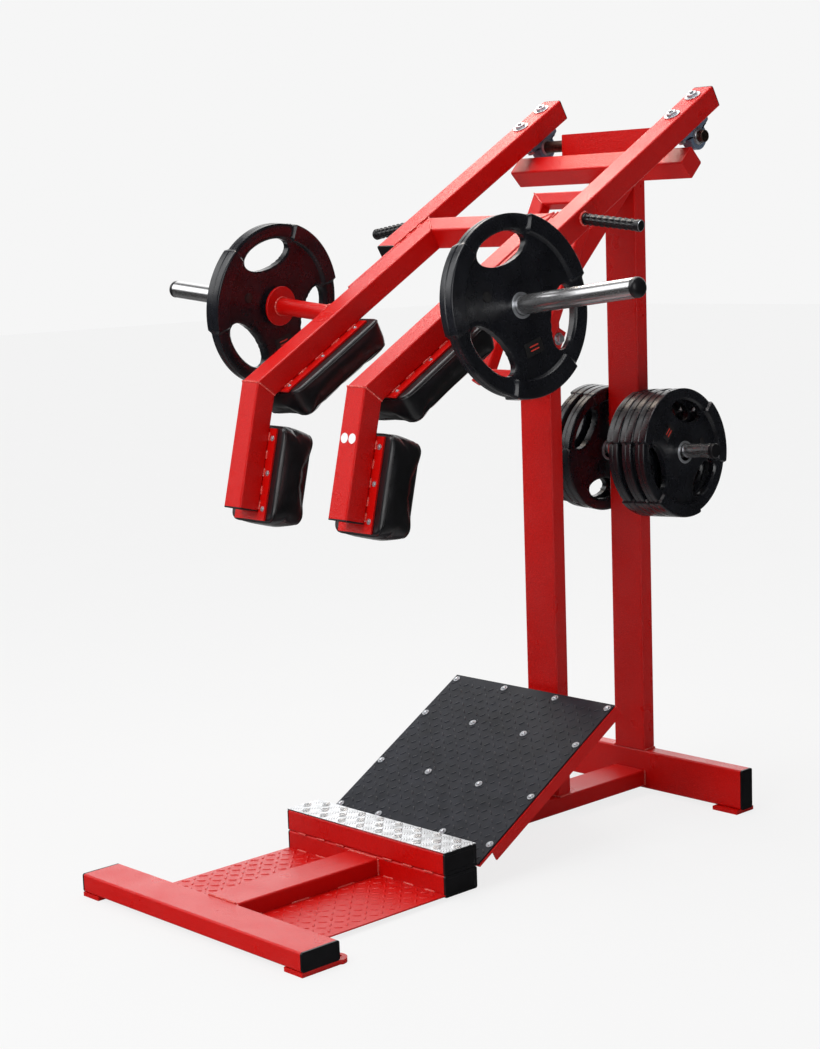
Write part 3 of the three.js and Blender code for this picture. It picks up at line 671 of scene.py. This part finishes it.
RAMP = FLOOR @ at(0, 733, 70) @ turn(30, "X")
many("mat_tread", teardrops(-312, 312, 6, 648, 26, (19, 6, 1.3), RAMP,
     lambda x, y: abs(x) < 78 and y < 80), TREAD, "frame", "rubber", 60)
drops = []
for side in (-1, 1):
    x0, x1 = sorted((side * 64, side * 317))
    drops += teardrops(x0, x1, 124, 604, 30, (25, 8, 1.6), FLOOR @ at(0, 0, 16))
many("floor_plate_tread", drops, RED, "frame", "red_paint", 60)
bars, bar_pitch = [], 38
for i in range(17):
    for j in range(3):
        group = FLOOR @ at(-304 + i * bar_pitch, 630 + j * bar_pitch, 130)
        group = group @ turn(45 if (i + j) % 2 else -45, "Z")
        for k in range(-2, 3):
            bars.append((*lens(30 - abs(k) * 2, 4.8, 1.2), group @ at(0, k * 7.2, 0)))
many("step_tread_bars", bars, ALUMINIUM, "frame", "aluminium", 60)

fixings = []
for up in (634, 477, 262, 72):
    for x in (-302, -140 if up < 100 else -102, 120 if up < 100 else 102, 302):
        spot = RAMP @ at(x, up, 0)
        fixings += [(*washer(11, 3.5, 1.6), spot @ at(0, 0, 0.2)), (*dome(6.5, 4.2, 1.6), spot)]
many("mat_fixings", fixings, ZINC, "frame", "bright_steel", 35)

# ---------------------------------------------------------------- hand frame bolt
heads = []
for side in (-1, 1):
    spot = Matrix.Translation(HAND) @ turn(side * 90, "Y")
    heads += [(*washer(18, 8, 3), spot @ at(0, 0, 74.2)), (*hexagon(13, 77.3, 88.5), spot)]
rod = turned_mesh([(0, -80), (8, -80), (8, 80), (0, 80)], 32)
bolt = many("hand_frame_bolt_zinc", heads + [(*rod, Matrix.Translation(HAND) @ turn(90, "Y"))], ZINC, "frame",
            "bright_steel", 30)
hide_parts("hand_frame_bolt")

# ---------------------------------------------------------------- weld beads
def seams(place, radius, *ends):
    """Straight beads of one radius, each from one end to the other."""
    return [(*bead([start, end], radius), place) for start, end in ends]


weld = []
for x in (-60, 60):
    weld += seams(FLOOR, 3.0,
                  ((x, 1338, 71.5), (x, 1388, 71.5)), ((x, 1338, 1540.5), (x, 1388, 1507)),
                  ((x, 1727, 133), (x, 1777, 133)), ((x, 1726.5, 1848), (x, 1726.5, 1929)),
                  ((x, 1726.5, 22), (x, 1726.5, 69)), ((x, 120.3, 14), (x, 120.3, 61)),
                  ((x, 607.8, 14), (x, 607.8, 61)))
    weld += seams(FLOOR, 2.4, ((x, 1690, 1952), (x, 1744, 1952)))
weld += seams(FLOOR, 3.0, *(((-56, y, z), (56, y, z)) for y, z in (
    (1338, 71.5), (1388, 71.5), (1338, 1540.5), (1726.5, 1929.5), (120.3, 62), (607.8, 62))))
for side in (-1, 1):
    for start in (80, 160, 240):
        from_x, to_x = side * start, side * (start + 40)
        weld += seams(FLOOR, 2.4, ((from_x, 607.8, 16.5), (to_x, 607.8, 16.5)),
                      ((from_x, 120.3, 16.5), (to_x, 120.3, 16.5)))
        weld += seams(FLOOR, 2.2, ((from_x, 607.8, 67.2), (side * (start + 34), 607.8, 67.2)))
    for start in (140, 300, 460):
        weld += seams(FLOOR, 2.4, ((side * 60.2, start, 16.5), (side * 60.2, start + 60, 16.5)))
many("frame_welds", weld, WELD_WITH_PAINTED_GLINTS, "frame", "red_paint", 60)

weld, bolts = [], []
for word, side in SIDES:
    inner, outer = side * (INNER_X - 35), side * (INNER_X + 35)
    for x in (inner, outer):
        weld += seams(LEVER, 2.2, ((x, -1372.6, 36), (x, -1399.5, 98)))
    weld += seams(LEVER, 2.2, ((inner, -607, 36), (inner, -607, 99)),
                  ((side * 178, -1400.8, 100), (side * 244, -1400.8, 100)),
                  ((inner, -641, 100), (outer, -572, 100)))
    for start in (-700, -650, -600):
        weld += seams(LEVER, 2.6, ((side * 257, start, 99), (side * 257, start + 30, 99)))
    back = drop(side)
    for s in (-1, 1):
        x = side * INNER_X + s * 35.5
        for start in (1030, 1100, 1170, 1240, 1300):
            weld += seams(LEVER, 2.6, ((x, -start - 34, 35.2), (x, -start, 35.2)))
        for y in (-1045, -1185, -1325):
            spot = LEVER @ at(side * INNER_X + s * 47, y, ARM_UNDER)
            bolts += [(*washer(5.5, 3, 1.2), spot), (*dome(4, 3, 1), spot)]
        for start in (112, 160, 208, 256, 296):
            weld += seams(back, 2.6, ((s * 35.5, -start - 24, -32.3), (s * 35.5, -start, -32.3)))
        for y in (-128, -222, -318):
            spot = back @ at(s * 49, y, -32.5)
            bolts += [(*washer(7.5, 3, 1.4), spot), (*dome(4.6, 3.4, 1.2), spot)]
many("lever_welds", weld, WELD_WITH_PAINTED_GLINTS, "lever", "red_paint", 60)
many("pad_bolts", bolts, ZINC, "lever", "bright_steel", 35)

weld = []
for side in (-1, 1):
    weld += seams(HAND_FRAME, 2.2, *(((side * 74.6, -54, z), (side * 74.6, -42, z)) for z in (-28, 28)))
    weld += seams(HAND_FRAME, 1.8, ((side * 67, -95, 386), (side * 114, -95, 423)),
                  ((side * 67, -95, -140), (side * 114, -95, -177)))
many("hand_frame_welds", weld, WELD_WITH_PAINTED_GLINTS, "hand_frame", "red_paint", 60)

labels = []
for x in (197, 226):
    disc = turned_mesh([(0, 0), (13, 0), (13, 0.5), (0, 0.5)], 48)
    labels.append((*disc, drop(1) @ at(x - INNER_X, -118, 32.6)))
many("arm_stickers", labels, STICKER, "lever", "black_plastic", 30)


# ---------------------------------------------------------------- pads
def blank_pad(width, length, thick):
    """Rounded slab, its back flat at z = 0, its face crowned at z = thick."""
    def layer(inset, z, radius):
        return rounded_outline(width - 2 * inset, length - 2 * inset, radius, 8), z
    layers = [layer(7, 0, 16), layer(3.5, 1.5, 20), layer(2.5, 6, 22), layer(2, thick * 0.3, 24),
              layer(2, thick * 0.6, 26), layer(3.5, thick * 0.8, 27), layer(8, thick * 0.93, 28),
              layer(17, thick * 0.985, 26), layer(34, thick, 22)]
    return loft(layers)


def stuffed(name, width, length, thick, most=8.0):
    """A pad's cover: the blank remeshed, blown up by at most so many millimetres, and smoothed."""
    verts, faces = blank_pad(width, length, thick)
    mesh = bpy.data.meshes.new(name)
    mesh.from_pydata([tuple(c * MM for c in v) for v in verts], [], faces)
    obj = bpy.data.objects.new(name, mesh)
    bpy.context.scene.collection.objects.link(obj)
    bpy.context.view_layer.objects.active = obj
    remesh = obj.modifiers.new("remesh", "REMESH")
    remesh.mode, remesh.voxel_size = "VOXEL", 0.005
    graph = bpy.context.evaluated_depsgraph_get()
    obj.data = bpy.data.meshes.new_from_object(obj.evaluated_get(graph))
    obj.modifiers.clear()
    rest = np.array([v.co[:] for v in obj.data.vertices])
    cloth = obj.modifiers.new("cloth", "CLOTH")
    cloth.settings.use_pressure = True
    cloth.settings.uniform_pressure_force = 4
    cloth.settings.effector_weights.gravity = 0
    cloth.settings.tension_stiffness = 12
    cloth.settings.bending_stiffness = 0.6
    pinned = obj.vertex_groups.new(name="board")
    pinned.add([i for i, p in enumerate(rest) if p[2] < 0.002], 1.0, "REPLACE")
    cloth.settings.vertex_group_mass = "board"
    for step in range(1, 21):
        bpy.context.scene.frame_set(step)
    graph = bpy.context.evaluated_depsgraph_get()
    moved = obj.evaluated_get(graph).data
    now = np.array([v.co[:] for v in moved.vertices])
    shift = now - rest
    length_of = np.linalg.norm(shift, axis=1, keepdims=True)
    shift *= np.minimum(1, most * MM / np.maximum(length_of, 1e-9))
    obj.modifiers.clear()
    obj.vertex_groups.clear()
    obj.data.vertices.foreach_set("co", (rest + shift).ravel().astype(np.float32))
    bpy.context.scene.frame_set(1)
    smoothing = obj.modifiers.new("smooth", "SMOOTH")
    smoothing.factor, smoothing.iterations = 0.5, 3
    sub = obj.modifiers.new("sub", "SUBSURF")
    sub.levels = sub.render_levels = 1
    graph = bpy.context.evaluated_depsgraph_get()
    obj.data = bpy.data.meshes.new_from_object(obj.evaluated_get(graph))
    obj.modifiers.clear()
    co = np.array([v.co[:] for v in obj.data.vertices])
    lo, hi = co.min(0), co.max(0)
    want = np.array([width + 3, length + 3, thick]) * MM
    co = (co - np.array([(lo[0] + hi[0]) / 2, (lo[1] + hi[1]) / 2, lo[2]])) * (want / (hi - lo))
    obj.data.vertices.foreach_set("co", co.ravel().astype(np.float32))
    obj.data.update()
    return obj


def seam_path(obj, width, length, inset, height, radius, lift=0.2):
    """Points along a rounded rectangle, dropped onto the pad's surface."""
    outline = rounded_outline(width - 2 * inset, length - 2 * inset, radius, 8)
    dense = []
    for (ax, ay), (bx, by) in zip(outline, outline[1:] + outline[:1]):
        count = max(1, int(math.hypot(bx - ax, by - ay) / 6))
        dense += [(ax + (bx - ax) * k / count, ay + (by - ay) * k / count) for k in range(count)]
    points = []
    for x, y in dense:
        _, spot, normal, _ = obj.closest_point_on_mesh(Vector((x, y, height)) * MM)
        points.append((spot + normal * lift * MM) / MM)
    return points


def cord_mesh(points, radius, sides=8):
    """A closed cord of piping through points."""
    count, verts = len(points), []
    for i, p in enumerate(points):
        along = (points[(i + 1) % count] - points[i - 1]).normalized()
        one = along.cross(Vector((0, 0, 1))).normalized()
        two = along.cross(one)
        verts += [tuple(p + (one * math.cos(t) + two * math.sin(t)) * radius)
                  for t in np.linspace(0, 2 * math.pi, sides, endpoint=False)]
    return verts, ring_faces(count, sides, True)


def pad(kind, width, length, thick, placing):
    """A left and a right pad from one model, with piping round the face and round the back."""
    model = stuffed(f"{kind}_model", width, length, thick)
    front = seam_path(model, width, length, 4, thick * 0.86, 26)
    back = seam_path(model, width, length, 1, 7, 22)
    cords = [cord_mesh(front, 1.7), cord_mesh(back, 1.5)]
    for word, side in SIDES:
        place = placing(side)
        obj = bpy.data.objects.new(f"{kind}_{word}_cover", model.data.copy())
        settle(obj, VINYL, "lever", 180, place)
        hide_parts(f"{kind}_{word}")
        many(f"{kind}_{word}_piping", [(*c, place) for c in cords], PIPING, "lever", "vinyl", 180)
    bpy.data.objects.remove(model)


pad("shoulder_pad", 190, 370, 99, lambda side: LEVER @ at(side * INNER_X, -1165, 29.4) @ turn(180, "Y"))
pad("back_pad", 190, 270, 129, lambda side: drop(side) @ at(0, -224, -38.1) @ turn(180, "Y"))

# ---------------------------------------------------------------- studio
floor_mesh = bpy.data.meshes.new("floor")
size, BACKDROP = 30, 0.921
floor_mesh.from_pydata([(-size, -size, 0), (size, -size, 0), (size, size, 0), (-size, size, 0)], [],
                       [(0, 1, 2, 3)])
floor = bpy.data.objects.new("floor", floor_mesh)
bpy.context.scene.collection.objects.link(floor)
n = Nodes("floor_pale")
n.link(n.ramp(n.noise(2, 2), [(0.3, 0.8), (0.7, 0.82)]), n.shader.inputs["Base Color"])
n.set(Roughness=0.9)
# the floor is seen as the pale backdrop with only a trace of shadow, and lights the machine as a pale floor
backdrop = n.add("ShaderNodeEmission", Strength=1.0)
backdrop.inputs["Color"].default_value = (BACKDROP, BACKDROP, BACKDROP, 1)
share = n.add("ShaderNodeMath", operation="MULTIPLY")
share.inputs[1].default_value = 0.88
blend = n.add("ShaderNodeMixShader")
n.link(n.add("ShaderNodeLightPath").outputs["Is Camera Ray"], share.inputs[0])
n.link(share.outputs[0], blend.inputs[0])
n.link(n.shader.outputs[0], blend.inputs[1])
n.link(backdrop.outputs[0], blend.inputs[2])
n.link(blend.outputs[0], n.tree.nodes["Material Output"].inputs["Surface"])
floor_mesh.materials.append(n.material)
floor.visible_glossy = False

world = bpy.data.worlds.new("studio")
world.use_nodes = True
tree = world.node_tree


def world_node(kind, *links, **values):
    """A node of the world, its sockets fed in order by numbers, vectors or other nodes' outputs."""
    node = tree.nodes.new(kind)
    for key, value in values.items():
        setattr(node, key, value)
    for socket, source in zip(node.inputs, links):
        if isinstance(source, (int, float, Vector)):
            socket.default_value = source
        elif source is not None:
            tree.links.new(source, socket)
    return node.outputs


def toward(direction, low, high, least, most):
    """A soft patch of light: brightness by how nearly a ray points along a direction."""
    dot = world_node("ShaderNodeVectorMath", position, Vector(direction).normalized(),
                     operation="DOT_PRODUCT")
    return world_node("ShaderNodeMapRange", dot["Value"], low, high, least, most,
                      interpolation_type="SMOOTHSTEP")["Result"]


def add(a, b):
    return world_node("ShaderNodeMath", a, b, operation="ADD")[0]


def choose(test, no, yes):
    other = world_node("ShaderNodeMath", 1.0, test, operation="SUBTRACT")[0]
    return add(world_node("ShaderNodeMath", other, no, operation="MULTIPLY")[0],
               world_node("ShaderNodeMath", test, yes, operation="MULTIPLY")[0])


# What lights the machine is a pale room, brighter on its far side. What the machine mirrors is a white
# wall on the far side, a pale floor, and a strip light and a lamp on the near side. The camera sees the
# plain backdrop.
position = world_node("ShaderNodeTexCoord")["Generated"]
ray = world_node("ShaderNodeLightPath")
room = toward((-0.70, 0.66, 0.22), -0.15, 0.55, 0.2, 0.85)
wall = toward((-0.72, 0.64, 0.24), 0.66, 0.96, 0.02, 1.7)
ground = toward((0, 0, -1), 0.4, 0.9, 0.0, 0.35)
strip = toward((-0.66, -0.55, 0.5), 0.9, 0.975, 0.0, 2.2)
lamp = toward((0.75, -0.60, 0.3), 0.92, 0.985, 0.0, 2.8)
reflected = add(add(add(wall, ground), strip), lamp)
level = choose(ray["Is Camera Ray"], choose(ray["Is Glossy Ray"], room, reflected), BACKDROP)
tree.links.new(level, tree.nodes["Background"].inputs["Color"])
bpy.context.scene.world = world
bpy.context.scene.view_settings.view_transform = "Standard"


def softbox(name, location, target, width, power, colour=(1, 1, 1), glossy=True):
    """A square area light turned towards a point."""
    light = bpy.data.lights.new(name, "AREA")
    light.color = colour
    light.shape, light.size, light.size_y, light.energy = "RECTANGLE", width, width, power
    obj = bpy.data.objects.new(name, light)
    bpy.context.scene.collection.objects.link(obj)
    obj.location = location
    obj.visible_glossy = glossy
    obj.rotation_euler = (Vector(target) - Vector(location)).to_track_quat("-Z", "Y").to_euler()


softbox("key", (0.5, -4.2, 3.4), (0, 0, 1.1), 1.6, 90, glossy=False)
softbox("top", (-0.2, 0.4, 4.6), (0, 0, 1), 2.2, 58)
softbox("window", (-1.3, 1.0, 3.45), (0.25, 0.3, 1.7), 0.75, 17, (1, 0.86, 0.72))
sun_data = bpy.data.lights.new("overhead", "SUN")
sun_data.energy, sun_data.angle = 1.25, math.radians(35)
sun = bpy.data.objects.new("overhead", sun_data)
bpy.context.scene.collection.objects.link(sun)
sun.rotation_euler = Vector((0.25, 0.4, -0.88)).to_track_quat("-Z", "Y").to_euler()
